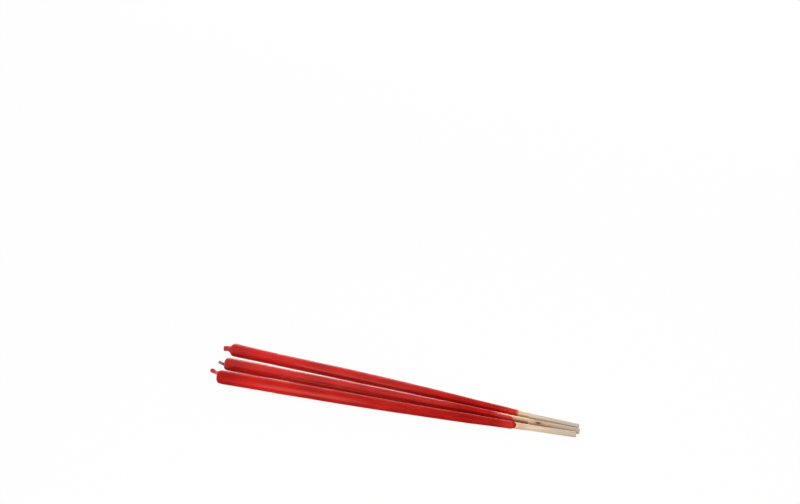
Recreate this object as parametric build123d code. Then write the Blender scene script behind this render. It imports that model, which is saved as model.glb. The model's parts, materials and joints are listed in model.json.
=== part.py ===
from build123d import *
import math
import os

# Dipped wax sticks on wooden handles, fanned out on their sides on a table top.
# One stick is made along X, with its wax tip at x = 0, its wick towards -X and its
# bare handle towards +X. It is then tilted, turned and set down. Sizes are millimetres.

# Wooden stick
handle_d = 5.0          # bare round handle
handle_chamfer = 0.5    # broken edge of the sawn end
spine_d = 4.4           # the stick is shaved thinner where the wax holds it
spine_taper_run = 0.3
spine_top_depth = 11.0  # from the wax tip to the top of the wood
socket_depth = 12.0     # blind hole in the top of the wood for the tail of the wick

# Wick
wick_d = 2.4
wick_bend_r = 3.0

# Undyed core wax, which runs on past the red coat as a thin film on the wood
film_t = 0.2

# Red coat
coat_t = 0.5
bead_run = 1.2          # its lower edge is drawn in to the film

# Where along the wax its girth is given: below the tip, and above the lower edge
waist_at = 95.0
ankle_above_edge = 36.0

# For finding how a stick settles: densities in grams per cubic centimetre, and points along its side
wood_density = 0.6
wax_density = 0.93
wick_density = 0.6
side_samples = 60

# The core is drawn in a little more than a straight taper from its waist to its foot
core_hollow = 0.2

# What differs from stick to stick. The tip is a cone from tip_flat_d over tip_run, with a shoulder
# rounded by shoulder_r. From the head to the waist, the ankle and the foot the side is hollowed by
# hollows below a straight taper. The film runs film_run past the coat. The wick bends by wick_lean, in
# degrees, at wick_bend_at behind the tip, and wick_roll turns that bend from upright towards the rear.
# fan turns the tip of the stick towards the rear. end_x and end_y place the end of the handle, measured
# from that of the middle one.
sticks = {
    "rear": dict(
        wax_length=268.8, film_run=7.5, handle_length=52.9,
        tip_flat_d=5.0, tip_run=3.2, shoulder_r=1.5,
        head_d=11.4, waist_d=10.4, ankle_d=7.3, hollows=(0.25, 0.1, 0.1),
        wick_bend_at=-1.4, wick_lean=-7.5, wick_roll=25.0, wick_out=5.7,
        end_x=-2.0, end_y=5.9, fan=2.8,
    ),
    "middle": dict(
        wax_length=261.0, film_run=13.0, handle_length=58.3,
        tip_flat_d=6.2, tip_run=2.0, shoulder_r=2.2,
        head_d=11.4, waist_d=10.4, ankle_d=7.4, hollows=(0.2, 0.1, 0.1),
        wick_bend_at=-0.8, wick_lean=17.0, wick_roll=40.0, wick_out=6.1,
        end_x=0.0, end_y=0.0, fan=-0.1,
    ),
    "front": dict(
        wax_length=266.0, film_run=11.0, handle_length=51.2,
        tip_flat_d=6.4, tip_run=1.4, shoulder_r=1.8,
        head_d=11.6, waist_d=11.6, ankle_d=8.0, hollows=(0.0, 0.2, 0.1),
        wick_bend_at=10.4, wick_lean=16.0, wick_roll=35.0, wick_out=6.0,
        end_x=-1.5, end_y=-5.6, fan=-3.01,
    ),
}

handle_r = handle_d / 2
wick_r = wick_d / 2
film_r = handle_r + film_t
foot_r = film_r + coat_t
socket_end = spine_top_depth + socket_depth


# A stretch of an outline, hollowed below the straight line between two points
def hollowed(a, b, depth):
    if depth == 0:
        return Line(a, b)
    middle = (a + b) * 0.5 - Vector(0, depth)
    return ThreePointArc(a, middle, b)


# Outline of the red coat, from the rim of its tip down its side to where its bead begins
def coat_outline(stick):
    head_r = stick["head_d"] / 2
    rim = (0, stick["tip_flat_d"] / 2)
    corner = (stick["tip_run"], head_r)
    tip = FilletPolyline(rim, corner, (waist_at, head_r), radius=stick["shoulder_r"]).edges()[:2]
    waist = Vector(waist_at, stick["waist_d"] / 2)
    ankle = Vector(stick["wax_length"] - ankle_above_edge, stick["ankle_d"] / 2)
    foot = Vector(stick["wax_length"] - bead_run, foot_r)
    points = [tip[-1] @ 1, waist, ankle, foot]
    side = [hollowed(a, b, depth) for a, b, depth in zip(points, points[1:], stick["hollows"])]
    return tip, side


# Outline of the core under it, from the rim of its tip to the film that it leaves on the wood
def core_outline(stick):
    tip, side = coat_outline(stick)
    skin = Vector(0, coat_t)
    rim = (tip[0] @ 0) + Vector(coat_t, 0)
    head = (side[0] @ 0) - skin
    waist = (side[0] @ 1) - skin
    foot = (side[-1] @ 1) - skin
    return [Line(rim, head), hollowed(head, waist, stick["hollows"][0]), hollowed(waist, foot, core_hollow)]


def turned(edges):
    return revolve(make_face(edges), Axis.X)


# The wood: sawn end, handle, the thinner spine inside the wax, and the socket for the wick
def wood_stick(stick):
    film_end = stick["wax_length"] + stick["film_run"]
    end = stick["wax_length"] + stick["handle_length"]
    outline = Polyline(
        (socket_end, 0),
        (end, 0),
        (end, handle_r - handle_chamfer),
        (end - handle_chamfer, handle_r),
        (film_end, handle_r),
        (film_end - spine_taper_run, spine_d / 2),
        (spine_top_depth, spine_d / 2),
        (spine_top_depth, wick_r),
        (socket_end, wick_r),
        close=True,
    )
    return turned(outline.edges())


# The wick, from the bottom of its socket to its free end
def wick_cord(stick):
    lean = math.radians(stick["wick_lean"])
    bend_at = stick["wick_bend_at"]
    free_run = stick["wick_out"] + bend_at / math.cos(lean)
    free_end = (bend_at - free_run * math.cos(lean), 0, free_run * math.sin(lean))
    line = FilletPolyline((socket_end, 0, 0), (bend_at, 0, 0), free_end, radius=wick_bend_r)
    section = Plane((socket_end, 0, 0), z_dir=(-1, 0, 0)) * Circle(wick_r)
    return Rot(-stick["wick_roll"], 0, 0) * sweep(section, path=line)


# The core before the wood and the wick are taken out of it
def core_blank(stick):
    outline = core_outline(stick)
    film_end = stick["wax_length"] + stick["film_run"]
    closing = Polyline(
        outline[-1] @ 1,
        (film_end, film_r),
        (film_end, 0),
        (coat_t, 0),
        outline[0] @ 0,
    )
    return turned([*outline, *closing.edges()])


# The red coat: a skin over the core, with a bead at its lower edge
def red_coat(stick):
    tip, side = coat_outline(stick)
    inner = core_outline(stick)
    bead = Polyline(side[-1] @ 1, (stick["wax_length"], film_r), inner[-1] @ 1)
    face = Polyline(tip[0] @ 0, (0, 0), (coat_t, 0), inner[0] @ 0)
    return turned([*tip, *side, *bead.edges(), *inner, *face.edges()])


# A stick lying on its side settles on the two points of its outline that straddle its weight:
# gives its tilt, in degrees, the place of its weight and the height of its axis there
def resting(stick, pieces, densities):
    weights = [piece.volume * density for piece, density in zip(pieces, densities)]
    moments = [weight * piece.center(CenterOf.MASS).X for piece, weight in zip(pieces, weights)]
    balance = sum(moments) / sum(weights)
    _, side = coat_outline(stick)
    outline = [stretch @ (i / side_samples) for stretch in side for i in range(side_samples + 1)]
    end = stick["wax_length"] + stick["handle_length"] - handle_chamfer
    outline.append(Vector(end, handle_r))
    upper = [point for point in outline if point.X <= balance]
    lower = [point for point in outline if point.X > balance]

    def height(a, b):
        return a.Y + (b.Y - a.Y) * (balance - a.X) / (b.X - a.X)

    a, b = max(((a, b) for a in upper for b in lower), key=lambda pair: height(*pair))
    tilt = math.atan2(a.Y - b.Y, b.X - a.X)
    return math.degrees(tilt), balance, height(a, b) * math.cos(tilt)


# One whole stick, set down in its place
def laid_stick(stick):
    wood = wood_stick(stick)
    wick = wick_cord(stick)
    core = core_blank(stick) - wood - wick
    coat = red_coat(stick) - wick
    pieces = [wood, wick, core, coat]
    densities = [wood_density, wick_density, wax_density, wax_density]
    tilt, balance, height = resting(stick, pieces, densities)
    to_end = (stick["wax_length"] + stick["handle_length"] - balance) * math.cos(math.radians(tilt))
    place = Pos(stick["end_x"], stick["end_y"], 0) * Rot(0, 0, -stick["fan"])
    place = place * Pos(-to_end, 0, height) * Rot(0, tilt, 0) * Pos(-balance, 0, 0)
    return dict(zip(("wood_stick", "wick", "core_wax", "red_coat"), [place * piece for piece in pieces]))


nodes = {}
for stick_name, stick in sticks.items():
    for piece_name, piece in laid_stick(stick).items():
        nodes[f"{stick_name}_{piece_name}"] = piece

# The origin is under the middle of the whole set, on the surface that it lies on
reach = Compound(list(nodes.values())).bounding_box()
to_origin = Pos(-reach.center().X, -reach.center().Y, -reach.min.Z)

os.makedirs("parts", exist_ok=True)
for node, piece in nodes.items():
    export_step(to_origin * piece, f"parts/{node}.step")
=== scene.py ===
import json
import math
import random

import bmesh
import bpy
from mathutils import Matrix, Vector, noise


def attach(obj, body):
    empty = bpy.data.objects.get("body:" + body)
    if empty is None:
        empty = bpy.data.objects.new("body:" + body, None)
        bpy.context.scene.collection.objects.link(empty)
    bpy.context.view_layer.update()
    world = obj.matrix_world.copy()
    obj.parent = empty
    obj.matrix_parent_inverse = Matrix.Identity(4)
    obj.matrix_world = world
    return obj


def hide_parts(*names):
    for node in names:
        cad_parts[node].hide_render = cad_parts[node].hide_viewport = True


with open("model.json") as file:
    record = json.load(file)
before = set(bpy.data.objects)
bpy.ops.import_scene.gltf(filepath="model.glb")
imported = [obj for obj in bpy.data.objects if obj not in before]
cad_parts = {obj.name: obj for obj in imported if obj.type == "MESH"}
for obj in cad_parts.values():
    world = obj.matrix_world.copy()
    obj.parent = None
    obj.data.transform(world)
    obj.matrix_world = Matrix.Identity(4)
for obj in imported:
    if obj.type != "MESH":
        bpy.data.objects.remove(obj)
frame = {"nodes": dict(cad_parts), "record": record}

# Three wax sticks on wooden handles, dipped by hand. Each piece is shaped in millimetres along
# its own stick, from the wax tip (0) to the end of the handle, and is then set in its place.

mm = 0.001
stickNames = ("rear", "middle", "front")
mounts = {mount["name"]: mount for mount in frame["record"]["mounts"]}
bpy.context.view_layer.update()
handleR = 2.5
spineR = 2.2
wickR = 1.2
coatWall = 0.5
coatTipRun = 5
fullTurn = 2 * math.pi


def smoothStep(low, high, value):
    t = min(max((value - low) / (high - low), 0.0), 1.0)
    return t * t * (3 - 2 * t)


def srgb(red, green, blue):
    def linear(byte):
        part = byte / 255
        return part / 12.92 if part <= 0.04045 else ((part + 0.055) / 1.055) ** 2.4
    return (linear(red), linear(green), linear(blue), 1.0)


# where a stick lies, and how far its solids reach along it
def readStick(name):
    handle = mounts[f"{name}_handle"]
    along = Vector(handle["axis"])
    across = Vector((0, 0, 1)).cross(along).normalized()
    up = along.cross(across)
    onAxis = Vector(handle["pos_m"])

    def reach(piece):
        corners = frame["nodes"][f"{name}_{piece}"].data.vertices
        steps = [(corner.co - onAxis).dot(along) for corner in corners]
        return min(steps), max(steps)

    tip, coatEdge = reach("red_coat")
    woodTop, woodEnd = reach("wood_stick")
    wickEnd, wickFoot = reach("wick")
    turn = Matrix((along, across, up)).transposed()
    start = onAxis + along * tip
    return {
        "name": name,
        "body": f"{name}_stick",
        "start": start,
        "turn": turn,
        "place": Matrix.Translation(start) @ turn.to_4x4() @ Matrix.Scale(mm, 4),
        "coatEdge": (coatEdge - tip) / mm,
        "woodTop": (woodTop - tip) / mm,
        "woodEnd": (woodEnd - tip) / mm,
        "wickEnd": (wickEnd - tip) / mm,
        "wickFoot": (wickFoot - tip) / mm,
    }


sticks = {name: readStick(name) for name in stickNames}
print("sticks read from the frame")


# one value or link of a material's nodes: sums on it add Math nodes
class Wire:
    def __init__(self, tree, socket=None):
        self.tree = tree
        self.socket = socket

    # any node: its type, its settings, then the values or links of its sockets
    def node(self, kind, settings=None, sockets=None, out=0):
        made = self.tree.nodes.new("ShaderNode" + kind)
        for key, value in (settings or {}).items():
            if key == "stops":
                self.setStops(made.color_ramp, value)
            else:
                setattr(made, key, value)
        for key, value in (sockets or {}).items():
            if isinstance(value, Wire):
                self.tree.links.new(value.socket, made.inputs[key])
            else:
                made.inputs[key].default_value = value
        return Wire(self.tree, made.outputs[out])

    def setStops(self, ramp, stops):
        while len(ramp.elements) < len(stops):
            ramp.elements.new(0.5)
        for element, (position, colour) in zip(ramp.elements, stops):
            element.position = position
            element.color = colour

    def maths(self, operation, first, second=0.0):
        return self.node("Math", {"operation": operation}, {0: first, 1: second})

    def __add__(self, other):
        return self.maths("ADD", self, other)

    def __sub__(self, other):
        return self.maths("SUBTRACT", self, other)

    def __mul__(self, other):
        return self.maths("MULTIPLY", self, other)

    def __truediv__(self, other):
        return self.maths("DIVIDE", self, other)

    def __pow__(self, other):
        return self.maths("POWER", self, other)

    def __radd__(self, other):
        return self.maths("ADD", other, self)

    def __rsub__(self, other):
        return self.maths("SUBTRACT", other, self)

    # 0 below low, 1 above high
    def step(self, low, high):
        sockets = {"Value": self, "From Min": low, "From Max": high}
        return self.node("MapRange", {"interpolation_type": "SMOOTHSTEP"}, sockets)

    # bands from 0 to 1, rate in radians per millimetre
    def bands(self, rate):
        return self.maths("SINE", self * rate) * 0.5 + 0.5

    def mixed(self, first, second):
        return self.node("Mix", {"data_type": "RGBA"}, {0: self, 6: first, 7: second}, 2)

    def stretched(self, scale, shift=(0, 0, 0)):
        return self.node("VectorMath", {"operation": "MULTIPLY_ADD"}, {0: self, 1: scale, 2: shift})

    def cloud(self, scale, detail=3.0, rough=0.5, twist=0.0):
        sockets = {"Vector": self, "Scale": scale, "Detail": detail, "Roughness": rough, "Distortion": twist}
        return self.node("TexNoise", {}, sockets)

    # clouds of another scale along the stick than across it
    def grain(self, scale, shift=(0, 0, 0), **more):
        return self.stretched(scale, shift).cloud(1.0, **more)

    def parts(self):
        split = self.node("SeparateXYZ", {}, {0: self})
        return [Wire(self.tree, socket) for socket in split.socket.node.outputs]


# a new material, with its place along the stick in millimetres
def newFinish(name, stick):
    finish = bpy.data.materials.new(name)
    finish.use_nodes = True
    finish.node_tree.nodes.clear()
    shade = Wire(finish.node_tree)
    spot = shade.node("TexCoord", out="Object")
    sockets = {
        "Vector": spot,
        "Location": stick["start"],
        "Rotation": stick["turn"].to_euler(),
        "Scale": (mm, mm, mm),
    }
    return finish, shade, shade.node("Mapping", {"vector_type": "TEXTURE"}, sockets)


def endFinish(shade, sockets):
    surface = shade.node("BsdfPrincipled", {}, sockets)
    shade.tree.links.new(surface.socket, shade.tree.nodes.new("ShaderNodeOutputMaterial").inputs[0])


def bumpNormal(shade, height, strength, distance):
    return shade.node("Bump", {}, {"Height": height, "Strength": strength, "Distance": distance})


# how far a spot lies out from the axis, at a turn from upright towards the front
def outAt(turn, across, up):
    return up * math.cos(turn) - across * math.sin(turn)


# height of a spot along the line that is upright in the picture, which leans to the rear
seenShare = {"up": 0.82, "across": 0.57}


def seenHeight(across, up):
    return up * seenShare["up"] + across * seenShare["across"]


waxIor = 1.44


# dyed dipping wax: clouded red, long runs along the dip, thin at its lower edge, satin, with painted
# highlight streaks and a painted highlight on the middle stick's foot. Stretches are millimetres from the
# tip, or above the coat's lower edge
redWaxSet = {
    "deep": srgb(148, 9, 5),
    "red": srgb(177, 21, 14),
    "bright": srgb(217, 36, 29),
    "stops": (0.2, 0.5, 0.86),
    "tone": 0.57,
    "clouded": 0.6,
    "streaked": 0.55,
    "tipRise": 0.27,
    "falls": {"waist": 0.2, "foot": 0.15},
    "thin": srgb(214, 58, 42),
    "thinned": 0.6,
    "ragged": 1.6,
    "ring": srgb(138, 24, 20),
    "veil": srgb(232, 150, 122),
    "veiled": 0.95,
    "featherEnd": 0.4,
    # painted highlight streak along the front side of each stick
    "highlightStreak": srgb(214, 98, 88),
    "paintedHighlight": srgb(250, 176, 168),  # painted highlight: a pale line along the top of the foot
    "paintedHighlightRise": ((1.4, 2.1), (2.3, 3.1)),
    "bloom": srgb(208, 86, 78),
    "bloomed": 0.12,
    "specked": 0.3,
    "roughness": 0.33,
    "shaded": (-1.0, 2.0),
    "fromTip": {"tip": (4, 40), "waist": (40, 100), "foot": (140, 230), "tipSheen": (150, 220)},
    "aboveEdge": {
        "thin": (22, 4),
        "ring": (5.5, 3.0),
        "paintedHighlight": (15, 6),
        "polish": (40, 8),
        "dull": (66, 40),
        "dullEnd": (20, 12),
    },
    "lift": {"rear": -0.03, "middle": -0.06, "front": -0.16},
    "bead": {"rear": 0.0, "middle": 0.1, "front": 0.9},
    "feather": {"rear": 3.2, "middle": 0.9, "front": 0.7},
    "paintedHighlightShare": {"rear": 0.0, "middle": 0.9, "front": 0.0},
    "polish": {"rear": 0.1, "middle": 0.2, "front": 0.1},
    "sheen": {"rear": 0.3, "middle": 0.7, "front": 0.13},
    "sheenRough": {"rear": 0.48, "middle": 0.18, "front": 0.5},
    "dulled": {"rear": 0.0, "middle": 0.75, "front": 0.0},
    "tipSheen": {"rear": 0.5, "middle": 0.3, "front": 0.2},
    # painted highlight streaks: turn, stretch, width and share on each stick
    "highlightStreaks": {
        "rear": {"turn": 62, "start": 50, "end": 190, "wide": 0.8, "share": 0.5},
        "middle": {"turn": 77, "start": 42, "end": 160, "wide": 0.7, "share": 0.5},
        "front": {"turn": 72, "start": 25, "end": 150, "wide": 1.6, "share": 0.38},
    },
    "highlightStreakSoft": {"start": 30, "end": 50, "ragged": 0.8, "inner": 0.3, "outer": 1.5},
}


# the lower edge of the coat hangs further down on one side: by how much, at which turn from upright
# towards the front, and how far the whole edge is drawn up
tongues = {
    "rear": {"reach": 0.9, "turn": 60, "drawn": 0.0},
    "middle": {"reach": 2.8, "turn": 120, "drawn": -0.8},
    "front": {"reach": 2.5, "turn": 55, "drawn": 1.7},
}


def tongueOn(stick, across, up):
    tongue = tongues[stick["name"]]
    out = outAt(math.radians(tongue["turn"]), across, up)
    return out * (tongue["reach"] / handleR) - tongue["drawn"]


# painted highlight: a lighter streak along the front side of each stick
def highlightStreakOn(stick, along, across, up, mottle):
    highlightLine = redWaxSet["highlightStreaks"][stick["name"]]
    soft = redWaxSet["highlightStreakSoft"]
    turn = math.radians(highlightLine["turn"])
    off = across * math.cos(turn) + up * math.sin(turn)
    off = off.maths("ABSOLUTE", off) + (mottle - 0.5) * soft["ragged"]
    streak = 1 - off.step(highlightLine["wide"] * soft["inner"], highlightLine["wide"] * soft["outer"])
    facing = outAt(turn, across, up).step(0.0, 1.0)
    started = along.step(highlightLine["start"], highlightLine["start"] + soft["start"])
    ended = along.step(highlightLine["end"] - soft["end"], highlightLine["end"])
    stretch = started * (1 - ended)
    return streak * facing * stretch * highlightLine["share"]


def redWax(stick):
    look = redWaxSet
    name = stick["name"]
    edge = stick["coatEdge"]
    stretches = dict(look["fromTip"])
    for key, (start, end) in look["aboveEdge"].items():
        stretches[key] = (edge - start, edge - end)
    finish, shade, spot = newFinish(f"redWax_{name}", stick)
    along, across, up = spot.parts()
    clouds = spot.grain((0.05, 0.13, 0.13), shift=(3.1, 0, 0), detail=3.0)
    runs = spot.grain((0.016, 0.55, 0.55), detail=2.0, twist=0.4)
    mottle = spot.cloud(0.9, detail=4.0, rough=0.6)
    tone = (clouds - 0.5) * look["clouded"] + (runs - 0.5) * look["streaked"]
    tone = tone + look["tone"] + look["lift"][name]
    tone = tone + along.step(*stretches["tip"]) * look["tipRise"]
    for key, fall in look["falls"].items():
        tone = tone - along.step(*stretches[key]) * fall
    stops = list(zip(look["stops"], (look["deep"], look["red"], look["bright"])))
    colour = shade.node("ValToRGB", {"stops": stops}, {0: tone})
    nearEdge = along - tongueOn(stick, across, up) + (mottle - 0.5) * look["ragged"]
    colour = (nearEdge.step(*stretches["thin"]) * look["thinned"]).mixed(colour, look["thin"])
    colour = (nearEdge.step(*stretches["ring"]) * look["bead"][name]).mixed(colour, look["ring"])
    feather = nearEdge.step(edge - look["feather"][name], edge + look["featherEnd"])
    colour = (feather * look["veiled"]).mixed(colour, look["veil"])
    # painted highlight streak along the front side
    colour = highlightStreakOn(stick, along, across, up, mottle).mixed(colour, look["highlightStreak"])
    # painted highlight: a pale line along the top of the middle stick's foot
    rise = seenHeight(across, up)
    low, high = look["paintedHighlightRise"]
    paintedHighlight = rise.step(*low) * (1 - rise.step(*high)) * along.step(*stretches["paintedHighlight"])
    colour = (paintedHighlight * look["paintedHighlightShare"][name]).mixed(colour, look["paintedHighlight"])
    bloom = spot.grain((0.04, 0.3, 0.3), shift=(9, 2, 5), detail=5.0, rough=0.65).step(0.56, 0.78)
    colour = (bloom * look["bloomed"]).mixed(colour, look["bloom"])
    specks = shade.node("TexVoronoi", {}, {"Vector": spot, "Scale": 0.16}).step(0.07, 0.03)
    colour = (specks * look["specked"]).mixed(colour, look["bloom"])
    sheen = look["sheen"][name] + (1 - along.step(*stretches["tipSheen"])) * look["tipSheen"][name]
    sheen = sheen + along.step(*stretches["polish"]) * look["polish"][name]
    dulled = along.step(*stretches["dull"]) * (1 - along.step(*stretches["dullEnd"]))
    sheen = sheen * (1 - dulled * look["dulled"][name])
    peel = spot.cloud(0.55, detail=2.0) * 0.7 + mottle * 0.3
    endFinish(shade, {
        "Base Color": colour,
        "Roughness": look["roughness"] + bloom * 0.16 + (mottle - 0.5) * 0.12,
        "Coat Weight": sheen * (1 - bloom * 0.5) * up.step(*look["shaded"]),
        "Coat Roughness": look["sheenRough"][name],
        "Coat IOR": waxIor,
        "Normal": bumpNormal(shade, peel, 0.25, 0.0003),
        "Subsurface Weight": 0.45,
        "Subsurface Radius": (1.0, 0.18, 0.12),
        "Subsurface Scale": 0.0012,
        "IOR": waxIor,
        "Specular IOR Level": 0.04,
    })
    return finish


# the same wax as a thin dull skin on a wick, with the cotton showing through near the tip
wickWaxSet = {
    "skin": srgb(198, 56, 54),
    "dull": srgb(172, 50, 52),
    "cotton": srgb(212, 132, 112),
    "lumpy": 0.8,
    "neckRun": (-1.1, 0.1),
    "neck": {"rear": 0.1, "front": 0.7},
    "roughness": 0.42,
}


def wickWax(stick):
    look = wickWaxSet
    name = stick["name"]
    finish, shade, spot = newFinish(f"wickWax_{name}", stick)
    along = spot.parts()[0]
    lumps = spot.cloud(0.9, detail=3.0)
    colour = lumps.step(0.38, 0.62).mixed(look["dull"], look["skin"])
    neck = (along + lumps * look["lumpy"]).step(*look["neckRun"]) * look["neck"][name]
    colour = neck.mixed(colour, look["cotton"])
    endFinish(shade, {
        "Base Color": colour,
        "Roughness": look["roughness"] + (lumps - 0.5) * 0.2,
        "Normal": bumpNormal(shade, lumps, 0.3, 0.0003),
        "Subsurface Weight": 0.3,
        "Subsurface Radius": (1.0, 0.3, 0.2),
        "Subsurface Scale": 0.001,
        "IOR": waxIor,
        "Specular IOR Level": 0.25,
    })
    return finish


# undyed wax left on the wood past the red coat: wood soaked tan under a glossy skin, darker below, partly
# pooled wax and partly painted shade, with a painted highlight on top. Runs are millimetres from the coat's
# lower edge
undyedWaxSet = {
    "soaked": {"rear": srgb(218, 198, 160), "middle": srgb(212, 170, 124), "front": srgb(210, 182, 146)},
    "dark": {"rear": srgb(206, 182, 142), "middle": srgb(176, 128, 80), "front": srgb(204, 173, 137)},
    "uneven": 2,
    # darker lower side: partly pooled wax, partly painted shade
    "pooledAndShaded": srgb(128, 80, 40),
    "poolAndShadeRise": (-1.5, 0.4),
    "poolAndShade": {"rear": 0.15, "middle": 0.85, "front": 0.1},
    "paintedHighlight": srgb(248, 214, 190),  # painted highlight: a pale line along the top of the film
    "paintedHighlightRise": (0.9, 1.9),
    "paintedHighlightShare": {"rear": 0.0, "middle": 0.5, "front": 0.0},
    "faded": srgb(222, 196, 162),
    "fadeRun": (5.0, 12.5),
    "fadeRagged": 6,
    "fade": {"rear": 0.0, "middle": 0.0, "front": 0.85},
    "blush": srgb(229, 175, 149),
    "blushRun": (0.2, 1.9),
    "blushed": {"rear": 0.6, "middle": 0.15, "front": 0.8},
    "roughness": 0.22,
}


def undyedWax(stick):
    look = undyedWaxSet
    name = stick["name"]
    finish, shade, spot = newFinish(f"undyedWax_{name}", stick)
    along, across, up = spot.parts()
    fibres = spot.grain((0.06, 2.2, 2.2), detail=4.0, rough=0.6)
    colour = fibres.step(0.4, 0.62).mixed(look["dark"][name], look["soaked"][name])
    # darker towards the lower side: partly wax pooled there, partly painted shade
    height = seenHeight(across, up) + (fibres - 0.5) * look["uneven"]
    poolAndShade = (1 - height.step(*look["poolAndShadeRise"])) * look["poolAndShade"][name]
    colour = poolAndShade.mixed(colour, look["pooledAndShaded"])
    # painted highlight: a pale line along the top of the middle stick's film
    paintedHighlight = height.step(*look["paintedHighlightRise"]) * look["paintedHighlightShare"][name]
    colour = paintedHighlight.mixed(colour, look["paintedHighlight"])
    fromEdge = along - tongueOn(stick, across, up) - stick["coatEdge"]
    faded = (fromEdge + (fibres - 0.5) * look["fadeRagged"]).step(*look["fadeRun"])
    colour = (faded * look["fade"][name]).mixed(colour, look["faded"])
    nearCoat = 1 - fromEdge.step(*look["blushRun"])
    colour = (nearCoat * look["blushed"][name]).mixed(colour, look["blush"])
    dimples = spot.cloud(0.7, detail=3.0)
    endFinish(shade, {
        "Base Color": colour,
        "Roughness": look["roughness"] + (dimples - 0.5) * 0.15,
        "Normal": bumpNormal(shade, dimples, 0.2, 0.0002),
        "Subsurface Weight": 0.15,
        "Subsurface Radius": (1.0, 0.7, 0.4),
        "Subsurface Scale": 0.001,
        "IOR": waxIor,
    })
    return finish


# pale turned wood: fibres, growth rings about a pith beside the axis, pores, a soaked stretch
# next to the wax, a grey sawn end and, on the middle stick, a knot and a faint darker underside, partly
# stain and partly painted shade
paleWoodSet = {
    "light": srgb(240, 223, 206),
    "mid": srgb(234, 213, 192),
    "dark": srgb(216, 191, 165),
    "tint": {
        "rear": (0.86, 0.855, 0.85, 1),
        "middle": (0.73, 0.62, 0.51, 1),
        "front": (0.87, 0.81, 0.73, 1),
    },
    "pith": {"rear": (7, 9), "middle": (-9, 6), "front": (5, -10)},
    "ringRate": 5.2,
    "fineRingRate": 9,
    "ringWarp": 1.6,
    "pore": srgb(150, 116, 84),
    "pored": 0.3,
    # darker underside of the middle handle: partly stain, partly painted shade
    "stain": srgb(146, 106, 70),
    "stainAndShadeRise": (-0.9, 1.1),
    "stainAndShadeFrom": 30,
    "uneven": 2,
    "stained": {"rear": 0.0, "middle": 0.15, "front": 0.0},
    # greyer and darker towards the sawn end
    "endGrey": srgb(178, 164, 149),
    "endGreyShare": 0.7,
    "endGreyRun": (42, 4),
    "endGreyRagged": 20,
    "soaked": {"rear": srgb(212, 192, 162), "middle": srgb(213, 172, 142), "front": srgb(210, 184, 145)},
    "soakedShare": 0.85,
    "soakRagged": 5,
    "soak": {"rear": (7.2, 8.2), "middle": (17.0, 24.0), "front": (9.0, 22.0)},
    "knot": srgb(80, 46, 20),
    "knotHalo": 0.45,
    "knotRagged": 0.9,
    "knots": {"middle": {"along": 284.3, "turn": 44.0, "long": 2.9, "wide": 1.0}},
    "sawn": srgb(150, 143, 134),
    "sawnShare": 0.8,
    "sawnRun": (0.5, 0.1),
    "roughness": 0.62,
}


def knotOn(colour, knot, along, across, up, fibres):
    look = paleWoodSet
    turn = math.radians(knot["turn"])
    knotY = -math.sin(turn) * handleR
    knotZ = math.cos(turn) * handleR
    off = ((along - knot["along"]) / knot["long"]) ** 2
    off = off + ((across - knotY) / knot["wide"]) ** 2 + ((up - knotZ) / knot["wide"]) ** 2
    off = off ** 0.5 + (fibres - 0.5) * look["knotRagged"]
    colour = ((1 - off.step(0.9, 2.4)) * look["knotHalo"]).mixed(colour, look["pore"])
    return (1 - off.step(0.45, 1.0)).mixed(colour, look["knot"])


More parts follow.
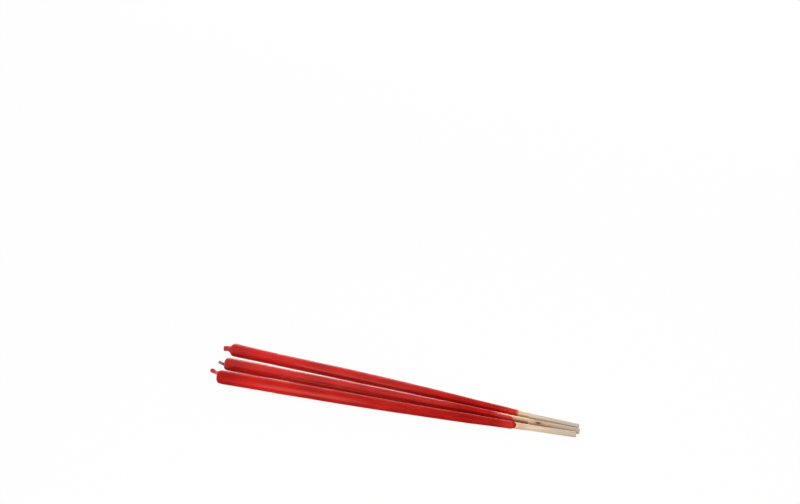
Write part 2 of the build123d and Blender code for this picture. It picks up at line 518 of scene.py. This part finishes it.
def paleWood(stick):
    look = paleWoodSet
    name = stick["name"]
    edge = stick["coatEdge"]
    end = stick["woodEnd"]
    finish, shade, spot = newFinish(f"paleWood_{name}", stick)
    along, across, up = spot.parts()
    warp = spot.grain((0.03, 0.2, 0.2), shift=(2, 7, 1), detail=2.0)
    pithY, pithZ = look["pith"][name]
    ringAt = ((across - pithY) ** 2 + (up - pithZ) ** 2) ** 0.5 + warp * look["ringWarp"]
    fibres = spot.grain((0.09, 3.4, 3.4), detail=5.0, rough=0.62)
    silk = spot.grain((0.35, 7.0, 7.0), detail=2.0)
    grain = fibres * 0.62 + ringAt.bands(look["ringRate"]) * 0.2 + silk * 0.18
    colour = grain.step(0.38, 0.62).mixed(look["dark"], look["mid"])
    colour = grain.step(0.47, 0.7).mixed(colour, look["light"])
    tinted = {0: 1.0, 6: colour, 7: look["tint"][name]}
    colour = shade.node("Mix", {"data_type": "RGBA", "blend_type": "MULTIPLY"}, tinted, 2)
    cells = {"Vector": spot.stretched((0.22, 3.0, 3.0)), "Scale": 1.0}
    pores = shade.node("TexVoronoi", {}, cells).step(0.16, 0.06)
    colour = (pores * look["pored"]).mixed(colour, look["pore"])
    # darker lower side: partly stain, partly painted shade
    height = seenHeight(across, up) + (fibres - 0.5) * look["uneven"]
    stained = (1 - height.step(*look["stainAndShadeRise"])) * (1 - along.step(edge + look["stainAndShadeFrom"], end))
    colour = (stained * look["stained"][name]).mixed(colour, look["stain"])
    # greyer and darker towards the sawn end
    endGreyFrom, endGreyTo = (end - run for run in look["endGreyRun"])
    endGrey = (along + (fibres - 0.5) * look["endGreyRagged"]).step(endGreyFrom, endGreyTo)
    colour = (endGrey * look["endGreyShare"]).mixed(colour, look["endGrey"])
    soakFrom, soakTo = (edge + run for run in look["soak"][name])
    soak = 1 - (along + (fibres - 0.5) * look["soakRagged"]).step(soakFrom, soakTo)
    colour = (soak * look["soakedShare"]).mixed(colour, look["soaked"][name])
    if name in look["knots"]:
        colour = knotOn(colour, look["knots"][name], along, across, up, fibres)
    sawnFrom, sawnTo = (end - run for run in look["sawnRun"])
    endRings = ringAt.bands(look["fineRingRate"]) * 0.35 + spot.cloud(2.4, detail=3.0) * 0.65
    endGrain = endRings.mixed(look["sawn"], look["dark"])
    colour = (along.step(sawnFrom, sawnTo) * look["sawnShare"]).mixed(colour, endGrain)
    endFinish(shade, {
        "Base Color": colour,
        "Roughness": look["roughness"] - soak * 0.25 + (fibres - 0.5) * 0.2,
        "Normal": bumpNormal(shade, fibres * 0.7 + silk * 0.3 - pores * 0.5, 0.35, 0.0002),
    })
    return finish


# plaited cotton, stiff with old wax, stained red near the tip of the coat
cottonWickSet = {
    "pale": srgb(188, 142, 132),
    "waxed": srgb(176, 122, 110),
    "dark": srgb(134, 90, 82),
    "darkened": 0.7,
    "stain": srgb(176, 64, 52),
    "stained": 0.7,
    "stainRun": (-2.2, 0.8),
    "stainRagged": 2,
    "roughness": 0.5,
}


def cottonWick(stick):
    look = cottonWickSet
    finish, shade, spot = newFinish(f"cottonWick_{stick['name']}", stick)
    along = spot.parts()[0]
    lint = spot.cloud(2.2, detail=4.0, rough=0.65)
    threads = spot.grain((3.0, 6.0, 6.0), detail=3.0)
    colour = lint.step(0.35, 0.65).mixed(look["waxed"], look["pale"])
    colour = (threads.step(0.56, 0.36) * look["darkened"]).mixed(colour, look["dark"])
    stain = (along + lint * look["stainRagged"]).step(*look["stainRun"])
    colour = (stain * look["stained"]).mixed(colour, look["stain"])
    endFinish(shade, {
        "Base Color": colour,
        "Roughness": look["roughness"] + lint * 0.25,
        "Normal": bumpNormal(shade, threads, 0.5, 0.0001),
    })
    return finish


print("finishes ready")


# a smooth line through a few points, with steps of about spacing
def smoothLine(points, spacing):
    points = [Vector(point) for point in points]
    points = [points[0] * 2 - points[1], *points, points[-1] * 2 - points[-2]]
    line = []
    for a, b, c, d in zip(points, points[1:], points[2:], points[3:]):
        knots = [0.0]
        for first, second in ((a, b), (b, c), (c, d)):
            knots.append(knots[-1] + max((second - first).length, 1e-6) ** 0.5)
        count = max(3, math.ceil((c - b).length / spacing))
        for i in range(count):
            t = knots[1] + (knots[2] - knots[1]) * i / count
            a1 = a.lerp(b, (t - knots[0]) / (knots[1] - knots[0]))
            a2 = b.lerp(c, (t - knots[1]) / (knots[2] - knots[1]))
            a3 = c.lerp(d, (t - knots[2]) / (knots[3] - knots[2]))
            b1 = a1.lerp(a2, (t - knots[0]) / (knots[2] - knots[0]))
            b2 = a2.lerp(a3, (t - knots[1]) / (knots[3] - knots[1]))
            line.append(b1.lerp(b2, (t - knots[1]) / (knots[2] - knots[1])))
    return [*line, points[-2]]


# spins an outline of (along, radius) points about the stick's own line
def turned(outline, steps, ring=False):
    work = bmesh.new()
    corners = [work.verts.new((along, 0, radius)) for along, radius in outline]
    following = corners[1:] + corners[:1] if ring else corners[1:]
    sides = [work.edges.new(pair) for pair in zip(corners, following)]
    bmesh.ops.spin(work, geom=corners + sides, cent=(0, 0, 0), axis=(1, 0, 0), dvec=(0, 0, 0),
                   angle=fullTurn, steps=steps, use_merge=True, use_duplicate=False)
    bmesh.ops.remove_doubles(work, verts=work.verts, dist=1e-5)
    return work


# noise on the round of a stick: how fast it changes along the stick and around it
def roundNoise(along, unit, offset, alongRate, aroundRate):
    return noise.noise(Vector((along * alongRate, aroundRate * unit.y, aroundRate * unit.z)) + offset)


# the wood is a little bowed, flat on the surface: sideways at the tip, and as one, two and three half
# waves along the stick
bows = {
    "rear": {"tip": 0.2, "waves": (0.9, 0.0, -0.4)},
    "middle": {"tip": -0.35, "waves": (0.15, 0.0, 0.0)},
    "front": {"tip": -0.4, "waves": (-2.2, 0.2, 0.1)},
}


# sets a shaped piece in its place on its stick, never below the surface that it lies on
def setDown(work, name, stick, finish, node=None):
    bow = bows[stick["name"]]
    for corner in work.verts:
        share = corner.co.x / stick["woodEnd"]
        corner.co.y += bow["tip"] * (1 - share)
        for count, sideways in enumerate(bow["waves"], 1):
            corner.co.y += sideways * math.sin(math.pi * count * share)
    bmesh.ops.recalc_face_normals(work, faces=work.faces)
    bmesh.ops.transform(work, matrix=stick["place"], verts=work.verts)
    for corner in work.verts:
        corner.co.z = max(corner.co.z, 0.0)
    mesh = bpy.data.meshes.new(name)
    work.to_mesh(mesh)
    work.free()
    for face in mesh.polygons:
        face.use_smooth = True
    mesh.materials.append(finish)
    piece = bpy.data.objects.new(name, mesh)
    bpy.context.scene.collection.objects.link(piece)
    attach(piece, stick["body"])
    if node:
        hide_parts(f"{stick['name']}_{node}")


# line of a wick inside the wax and out of it: it leaves the wax drop low, leans by lean degrees past
# bendAt, and roll turns that from upright towards the rear
wickLines = {
    "rear": {"bendAt": -1.4, "lean": -7.5, "roll": 25.0, "drop": 0.0},
    "middle": {"bendAt": -0.8, "lean": 17.0, "roll": 40.0, "drop": 0.9},
    "front": {"bendAt": 10.4, "lean": 16.0, "roll": 35.0, "drop": 0.0},
}
wickBendSoftness = 0.5
wickDropRun = (10.0, 1.0)


def onWick(stick, along):
    line = wickLines[stick["name"]]
    roll = math.radians(line["roll"])
    bend = (line["bendAt"] - along) / wickBendSoftness
    rise = math.tan(math.radians(line["lean"])) * wickBendSoftness * math.log1p(math.exp(min(bend, 60)))
    rise -= line["drop"] * smoothStep(*wickDropRun, along)
    return Vector((along, rise * math.sin(roll), rise * math.cos(roll)))


# point beside the wick's line, side and over measured square to it
def besideWick(stick, along, side, over):
    roll = math.radians(wickLines[stick["name"]]["roll"])
    here = onWick(stick, along)
    ahead = (onWick(stick, along - 0.05) - here).normalized()
    leanWay = Vector((0, math.sin(roll), math.cos(roll)))
    leanWay = (leanWay - ahead * leanWay.dot(ahead)).normalized()
    return here + leanWay * over + ahead.cross(leanWay) * side


# red coat: rounded tip as (along, radius), side as (along, girth across), and how far the wax climbs
# at the wick and swells at the foot
coatSet = {
    "rear": {
        "tip": [(0.05, 0), (0.1, 1.4), (0.5, 2.6), (1.85, 4.1), (3.0, 5.3), (4.4, 5.75)],
        "girth": [
            (9, 11.65), (27, 11.1), (45, 10.7), (82, 10.55),
            (119, 10.15), (155, 9.2), (195, 8.0), (232, 6.9),
        ],
        "climb": 0.95,
        "foot": 0.12,
        "seed": 11,
    },
    "middle": {
        "tip": [(0.4, 0), (0.45, 1.8), (0.7, 3.3), (1.3, 4.6), (2.4, 5.4), (4.1, 5.65)],
        "girth": [
            (14, 11.5), (32, 11.25), (50, 10.6), (85, 10.4),
            (119, 10.0), (155, 9.2), (195, 8.1), (228, 7.1),
        ],
        "climb": 0.4,
        "foot": 0.12,
        "seed": 23,
    },
    "front": {
        "tip": [(1.15, 0), (1.2, 2.2), (1.45, 3.7), (2.2, 4.95), (3.5, 5.7), (5.4, 5.95)],
        "girth": [
            (30, 11.9), (60, 11.6), (92, 11.4), (125, 10.75),
            (160, 9.7), (195, 8.75), (228, 8.1),
        ],
        "climb": 0.7,
        "foot": 0.5,
        "seed": 37,
    },
}

# what the three coats share: a bead at the lower edge as (past the edge, radius), and what dipping left,
# such as slow waves, ripples, runs, pimples, rings of earlier dips and a ragged edge
dipSet = {
    "steps": 84,
    "spacing": 0.5,
    "bead": [
        (-14, 3.24), (-7, 3.08), (-3.6, 3.1), (-2.3, 3.14),
        (-1.3, 3.02), (-0.5, 2.86), (0.1, 2.76), (0.5, 2.68),
    ],
    "waves": [{"rates": (0.035, 0.9), "high": 0.09}, {"rates": (0.16, 2.2), "high": 0.035}],
    "calmTip": 8.0,
    "tears": {"count": 9, "ends": (12, 45), "head": (0.8, 1.4), "tail": (12, 34), "high": (0.1, 0.22)},
    "pimples": {"count": 12, "ends": (5, 12), "head": (0.35, 0.7), "tail": (0.4, 1.0), "high": (0.08, 0.16)},
    "bumpReach": 2.5,
    "dips": {"count": 4, "first": 6, "apart": 7, "sway": 1.5, "shift": 1.7, "soft": 0.6, "deep": 0.05},
    "footRun": (30, 4),
    "footRound": (-0.4, 4.0),
    "hangRun": (14, 1),
    "ragged": (0.2, 0.12),
    "climbFrom": 0.9,
    "climbFade": 0.75,
    "climbRun": (2.0, 4.5),
}


# runs of wax that set on their way to the tip, and pimples, as bumps on the coat
def dipBumps(seed, coatEdge):
    draw = random.Random(seed)
    bumps = []
    for kind in ("tears", "pimples"):
        marks = dipSet[kind]
        first, last = marks["ends"]
        for _ in range(marks["count"]):
            bumps.append({
                "along": draw.uniform(first, coatEdge - last),
                "turn": draw.uniform(0, fullTurn),
                "head": draw.uniform(*marks["head"]),
                "tail": draw.uniform(*marks["tail"]),
                "high": draw.uniform(*marks["high"]),
            })
    return bumps


def bumpHeight(bump, along, turn, radius):
    lengthwise = along - bump["along"]
    lengthwise /= bump["tail"] if lengthwise > 0 else bump["head"]
    if abs(lengthwise) > dipSet["bumpReach"]:
        return 0.0
    sideways = (turn - bump["turn"] + math.pi) % fullTurn - math.pi
    sideways *= radius / bump["head"]
    return bump["high"] * math.exp(-lengthwise ** 2 - sideways ** 2)


# how far the skin stands out from its outline at one place
def coatSwell(shape, edge, bumps, offset, along, turn, radius, unit):
    marks = dipSet
    swell = sum(wave["high"] * roundNoise(along, unit, offset, *wave["rates"]) for wave in marks["waves"])
    swell *= smoothStep(0.0, marks["calmTip"], along)
    for bump in bumps:
        swell += bumpHeight(bump, along, turn, radius)
    dips = marks["dips"]
    for dip in range(dips["count"]):
        dipAt = edge - dips["first"] - dips["apart"] * dip
        dipAt += dips["sway"] * math.sin(turn + dip * dips["shift"] + shape["seed"])
        swell -= dips["deep"] * smoothStep(dipAt - dips["soft"], dipAt + dips["soft"], along)
    footFrom, footTo = (edge - run for run in marks["footRun"])
    roundFrom, roundTo = (edge - run for run in marks["footRound"])
    foot = smoothStep(footFrom, footTo, along) * smoothStep(roundFrom, roundTo, along)
    return swell + shape["foot"] * foot


# tells the outside of the coat from its inner wall and from the face under its tip
def onOutside(girths, edge, along, radius):
    wallSlack = 0.2
    edgeWall = 2.7
    faceR = 3
    if radius < 0.01:
        return False
    if along < coatTipRun and along < 0.6 + 0.5 * radius:
        return along <= coatWall - 0.05 or radius >= faceR
    below = [girth for at, girth in girths if at >= along]
    if below:
        return radius >= below[0] / 2 - coatWall + wallSlack
    lastAt, lastGirth = girths[-1]
    lastWall = lastGirth / 2 - coatWall + wallSlack / 2
    return radius >= lastWall + (edgeWall - lastWall) * (along - lastAt) / (edge - lastAt)


def redCoat(stick):
    name = stick["name"]
    shape = coatSet[name]
    girths = shape["girth"]
    marks = dipSet
    edge = stick["coatEdge"]
    outer = [*shape["tip"], *((along, girth / 2) for along, girth in girths)]
    outer += [(edge + run, radius) for run, radius in marks["bead"]]
    outer = smoothLine(outer, marks["spacing"])
    inner = [(edge - 1.2, 2.6), *((along, girth / 2 - coatWall) for along, girth in reversed(girths))]
    inner += [(coatTipRun, shape["tip"][-1][1] - coatWall), (coatWall + 0.3, 2), (coatWall, 0)]
    work = turned([*((point.x, point.y) for point in outer), *inner], marks["steps"])
    bumps = dipBumps(shape["seed"], edge)
    wickAt = onWick(stick, 0.0)
    tongue = tongues[name]
    tongueTurn = math.radians(tongue["turn"])
    hangFrom, hangTo = (edge - run for run in marks["hangRun"])
    slow, fast = marks["ragged"]
    offset = Vector((0, shape["seed"], 0))
    for corner in work.verts:
        along, across, up = corner.co
        radius = math.hypot(across, up)
        if not onOutside(girths, edge, along, radius):
            continue
        turn = math.atan2(-across, up)
        unit = Vector((0, across, up)) / radius
        corner.co += unit * coatSwell(shape, edge, bumps, offset, along, turn, radius, unit)
        hang = tongue["reach"] * math.cos(turn - tongueTurn) * radius / handleR - tongue["drawn"]
        hang += slow * math.sin(2 * turn + 1) + fast * math.sin(5 * turn + shape["seed"])
        corner.co.x += smoothStep(hangFrom, hangTo, along) * hang
        fromWick = max(math.hypot(across - wickAt.y, up - wickAt.z) - marks["climbFrom"], 0)
        climb = math.exp(-fromWick / marks["climbFade"]) * (1 - smoothStep(*marks["climbRun"], along))
        corner.co.x -= shape["climb"] * climb
    setDown(work, f"{name}_dipped_coat", stick, redWax(stick), "red_coat")


for stick in sticks.values():
    redCoat(stick)
print("coats dipped")


# the core under the coat, and its film on the wood with a wandering edge
filmSet = {
    "run": {"rear": 8.0, "middle": 14.0, "front": 10.8},
    "wander": {"rear": 0.25, "middle": 0.8, "front": 1.2},
    "radius": 2.7,
    "steps": 72,
    "spacing": 0.4,
    "uneven": 0.03,
    "coreGap": 0.1,
}


def coreWax(stick):
    shape = filmSet
    name = stick["name"]
    girths = coatSet[name]["girth"]
    edge = stick["coatEdge"]
    filmEnd = edge + shape["run"][name]
    filmR = shape["radius"]
    headR = girths[0][1] / 2 - coatWall - shape["coreGap"]
    body = [(coatWall + 0.4, wickR), (coatWall + 0.6, 2.2), (coatTipRun, headR)]
    body += [(along, girth / 2 - coatWall - shape["coreGap"]) for along, girth in girths]
    film = [
        (edge - 3, filmR), (edge, filmR), (filmEnd - 3.2, filmR - 0.05), (filmEnd - 1.4, filmR - 0.12),
        (filmEnd, handleR), (filmEnd + 1.2, handleR - 0.12),
    ]
    film = smoothLine(film, shape["spacing"])
    bore = [(filmEnd + 0.9, spineR), (stick["woodTop"], spineR), (stick["woodTop"], wickR)]
    work = turned([*body, *((point.x, point.y) for point in film), *bore], shape["steps"], True)
    offset = Vector((0, 0, coatSet[name]["seed"]))
    for corner in work.verts:
        along, across, up = corner.co
        radius = math.hypot(across, up)
        if along < edge or radius < handleR - 0.1:
            continue
        unit = Vector((0, across, up)) / radius
        tide = noise.noise(unit * 1.6 + offset) + 0.25 * noise.noise(unit * 3.0 + offset)
        corner.co.x += shape["wander"][name] * tide * smoothStep(edge, filmEnd, along)
        corner.co += unit * shape["uneven"] * roundNoise(along, unit, offset, 0.7, 2)
    setDown(work, f"{name}_core_and_film", stick, undyedWax(stick), "core_wax")


for stick in sticks.values():
    coreWax(stick)
print("cores and films set")


# wooden stick: turned handle with fibres standing proud, worn sawn end, spine in the wax
woodSet = {
    "steps": 72,
    "spacing": 0.45,
    "endRound": 0.45,
    "sawMarks": 0.05,
    "marks": [{"rates": (0.05, 6), "high": 0.025}, {"rates": (0.02, 1.1), "high": 0.04}],
    "chips": 0.28,
    "chipRun": (1.0, 0.1),
}


def woodStick(stick):
    shape = woodSet
    name = stick["name"]
    end = stick["woodEnd"]
    endRound = shape["endRound"]
    shoulder = stick["coatEdge"] - 4
    rim = [
        (end, handleR - endRound), (end - 0.06, handleR - 0.25),
        (end - 0.2, handleR - 0.08), (end - endRound, handleR),
    ]
    face = [(end, 0), (end, 0.8), (end, 1.5), *rim]
    handle = smoothLine([rim[-1], (end - 20, handleR), (shoulder, handleR - 0.05)], shape["spacing"])
    spine = [(shoulder - 0.3, spineR), (stick["woodTop"], spineR), (stick["woodTop"], wickR)]
    socket = [(stick["wickFoot"], wickR), (stick["wickFoot"], 0)]
    work = turned([*face, *((point.x, point.y) for point in handle[1:]), *spine, *socket], shape["steps"])
    offset = Vector((coatSet[name]["seed"], 0, 0))
    chipFrom, chipTo = (end - run for run in shape["chipRun"])
    for corner in work.verts:
        along, across, up = corner.co
        radius = math.hypot(across, up)
        if along < shoulder + 0.1:
            continue
        if radius < handleR - endRound - 0.05:
            corner.co.x += shape["sawMarks"] * noise.noise(Vector((0, across * 1.7, up * 1.7)) + offset)
            continue
        unit = Vector((0, across, up)) / radius
        proud = 0.0
        for marks in shape["marks"]:
            proud += marks["high"] * roundNoise(along, unit, offset, *marks["rates"])
        corner.co += unit * proud
        chip = roundNoise(1.0, unit, offset, 1.0, 3.0)
        corner.co.x -= shape["chips"] * max(chip, 0) * smoothStep(chipFrom, chipTo, along)
    setDown(work, f"{name}_wooden_stick", stick, paleWood(stick), "wood_stick")


for stick in sticks.values():
    woodStick(stick)
print("wood turned")


# three-strand plait, each strand of three twisted yarns, cut a little short of the solid wick's end
wickSet = {
    "width": 0.78, "depth": 0.66, "pitch": 3.4,
    "yarnOff": 0.34, "yarnR": 0.42, "yarnPitch": 3.6,
    "spacing": 0.2, "splay": 0.25, "splayRun": 1.2,
    "cut": 1.1, "cutUneven": 0.5,
}


def plaitedWick(stick):
    shape = wickSet
    name = stick["name"]
    draw = random.Random(coatSet[name]["seed"] + 5)
    curve = bpy.data.curves.new(f"{name}_plait", "CURVE")
    curve.dimensions = "3D"
    curve.bevel_depth = shape["yarnR"]
    curve.bevel_resolution = 2
    curve.use_fill_caps = True
    for strand in range(3):
        for yarn in range(3):
            cut = stick["wickEnd"] + shape["cut"] + draw.uniform(0, shape["cutUneven"])
            count = int((stick["wickFoot"] - cut) / shape["spacing"])
            line = curve.splines.new("POLY")
            line.points.add(count - 1)
            for i, point in enumerate(line.points):
                along = stick["wickFoot"] + (cut - stick["wickFoot"]) * i / (count - 1)
                phase = fullTurn * (along / shape["pitch"] + strand / 3)
                twist = fullTurn * (along / shape["yarnPitch"] + yarn / 3)
                fray = 1 + shape["splay"] * smoothStep(cut + shape["splayRun"], cut, along)
                side = shape["width"] * math.sin(phase) + shape["yarnOff"] * math.cos(twist)
                over = shape["depth"] * math.sin(2 * phase) + shape["yarnOff"] * math.sin(twist)
                point.co = (*besideWick(stick, along, side * fray, over * fray), 1)
    holder = bpy.data.objects.new(f"{name}_plait", curve)
    bpy.context.scene.collection.objects.link(holder)
    bpy.context.view_layer.update()
    mesh = bpy.data.meshes.new_from_object(holder.evaluated_get(bpy.context.evaluated_depsgraph_get()))
    work = bmesh.new()
    work.from_mesh(mesh)
    bpy.data.objects.remove(holder)
    bpy.data.curves.remove(curve)
    bpy.data.meshes.remove(mesh)
    setDown(work, f"{name}_plaited_wick", stick, cottonWick(stick), "wick")


for stick in sticks.values():
    plaitedWick(stick)
print("wicks plaited")


# red wax that the last dip left on two of the wicks: (out from the tip, radius)
wickSkinSet = {
    "outline": {
        "rear": [
            (-0.6, 3.0), (0.2, 2.6), (1.0, 2.3), (2.2, 2.2), (3.4, 2.3), (4.6, 2.35), (5.2, 2.15),
            (5.5, 1.75), (5.62, 0.9), (5.64, 0),
        ],
        "front": [
            (-1.5, 2.2), (-0.6, 1.8), (0.3, 1.55), (1.4, 1.55), (2.5, 1.75), (3.8, 1.9), (5.1, 1.8),
            (5.9, 1.25), (6.1, 0),
        ],
    },
    "steps": 40,
    "spacing": 0.18,
    "plait": 0.03,
    "plaitPitch": 1.7,
    "lumps": 0.14,
    "lumpRate": 0.6,
}


def wickSkin(stick):
    shape = wickSkinSet
    name = stick["name"]
    rate = shape["lumpRate"]
    outline = smoothLine(shape["outline"][name], shape["spacing"])
    work = turned([(outline[0].x, 0), *((point.x, max(point.y, 0)) for point in outline)], shape["steps"])
    lean = math.cos(math.radians(wickLines[name]["lean"]))
    offset = Vector((5, 0, coatSet[name]["seed"]))
    for corner in work.verts:
        out, side, over = corner.co
        twist = fullTurn * out / shape["plaitPitch"] + 2 * math.atan2(side, over)
        lumps = noise.noise(Vector((out * rate, side * rate, over * rate)) + offset)
        lump = 1 + shape["plait"] * math.sin(twist) + shape["lumps"] * lumps
        corner.co = besideWick(stick, -out * lean, side * lump, over * lump)
    setDown(work, f"{name}_wick_skin", stick, wickWax(stick))


for name in wickSkinSet["outline"]:
    wickSkin(sticks[name])
print("wick skins set")


# floor and surroundings: white for the camera, plainer for what lights the sticks
stageSet = {
    "floorSize": 6.0,
    "floor": (0.86, 0.86, 0.86, 1),
    "floorDark": (0.84, 0.84, 0.84, 1),
    "whiteShare": 0.95,
    "glossShare": 0.28,
    "world": 0.45,
}


# share of white for the camera, and for what gloss and glass show
def seenRay(shade, share, glossShare):
    ray = shade.node("LightPath").socket.node.outputs
    seen = Wire(shade.tree, ray["Is Camera Ray"]) * share
    for kind in ("Is Glossy Ray", "Is Transmission Ray"):
        seen = seen.maths("MAXIMUM", seen, Wire(shade.tree, ray[kind]) * glossShare)
    return seen


def floorFinish():
    finish = bpy.data.materials.new("paleFloor")
    finish.use_nodes = True
    finish.node_tree.nodes.clear()
    shade = Wire(finish.node_tree)
    paper = shade.node("TexCoord", out="Object").cloud(3.0, detail=2.0)
    tone = paper.mixed(stageSet["floor"], stageSet["floorDark"])
    matt = shade.node("BsdfDiffuse", {}, {"Color": tone})
    white = shade.node("Emission", {}, {"Strength": 1.0})
    seen = seenRay(shade, stageSet["whiteShare"], stageSet["glossShare"])
    mixed = shade.node("MixShader", {}, {0: seen, 1: matt, 2: white})
    shade.tree.links.new(mixed.socket, shade.tree.nodes.new("ShaderNodeOutputMaterial").inputs[0])
    return finish


def setStage():
    work = bmesh.new()
    bmesh.ops.create_grid(work, x_segments=1, y_segments=1, size=stageSet["floorSize"] / 2)
    mesh = bpy.data.meshes.new("floor")
    work.to_mesh(mesh)
    work.free()
    mesh.materials.append(floorFinish())
    floor = bpy.data.objects.new("floor", mesh)
    bpy.context.scene.collection.objects.link(floor)
    world = bpy.data.worlds.new("studio")
    bpy.context.scene.world = world
    world.use_nodes = True
    world.node_tree.nodes.clear()
    shade = Wire(world.node_tree)
    seen = seenRay(shade, 1.0, stageSet["glossShare"])
    strength = stageSet["world"] + seen * (1 - stageSet["world"])
    sky = shade.node("Background", {}, {"Color": (1, 1, 1, 1), "Strength": strength})
    world.node_tree.links.new(sky.socket, world.node_tree.nodes.new("ShaderNodeOutputWorld").inputs[0])


# soft light from above, a pale sweep behind and a low window in front, in metres and watts
lamps = {
    "softbox": {
        "at": (0.05, -0.2, 0.75), "aim": (-0.05, 0, 0), "size": (0.9, 0.6), "watts": 3.85, "gloss": False,
    },
    "sweep": {
        "at": (0.05, 1.2, 0.35), "aim": (0, 0, 0), "size": (2.4, 0.5), "watts": 12.0, "gloss": True,
    },
    "window": {
        "at": (0.3, -1.1, 0.26), "aim": (-0.05, 0, 0), "size": (0.6, 0.25), "watts": 3.7, "gloss": True,
    },
}


def lightObject():
    for name, lamp in lamps.items():
        light = bpy.data.lights.new(name, "AREA")
        light.shape = "RECTANGLE"
        light.size, light.size_y = lamp["size"]
        light.energy = lamp["watts"]
        holder = bpy.data.objects.new(name, light)
        holder.visible_glossy = lamp["gloss"]
        holder.location = lamp["at"]
        holder.rotation_euler = (Vector(lamp["aim"]) - holder.location).to_track_quat("-Z", "Y").to_euler()
        bpy.context.scene.collection.objects.link(holder)


# placed from the end of the middle handle, in metres and degrees
cameraSet = {
    "lens": 90, "sensor": 36,
    "right": 0.2722, "back": 1.3439, "height": 0.989,
    "down": 30.77, "round": 17.74,
}


def setCamera():
    look = cameraSet
    middle = sticks["middle"]
    handleEnd = middle["place"] @ Vector((middle["woodEnd"], 0, 0))
    lens = bpy.data.cameras.new("camera")
    lens.lens = look["lens"]
    lens.sensor_width = look["sensor"]
    camera = bpy.data.objects.new("camera", lens)
    camera.location = (handleEnd.x + look["right"], handleEnd.y - look["back"], look["height"])
    camera.rotation_euler = (math.radians(90 - look["down"]), 0, math.radians(look["round"]))
    bpy.context.scene.collection.objects.link(camera)
    bpy.context.scene.camera = camera


setStage()
lightObject()
setCamera()
bpy.context.scene.view_settings.view_transform = "Standard"
print("stage, lights and camera set")
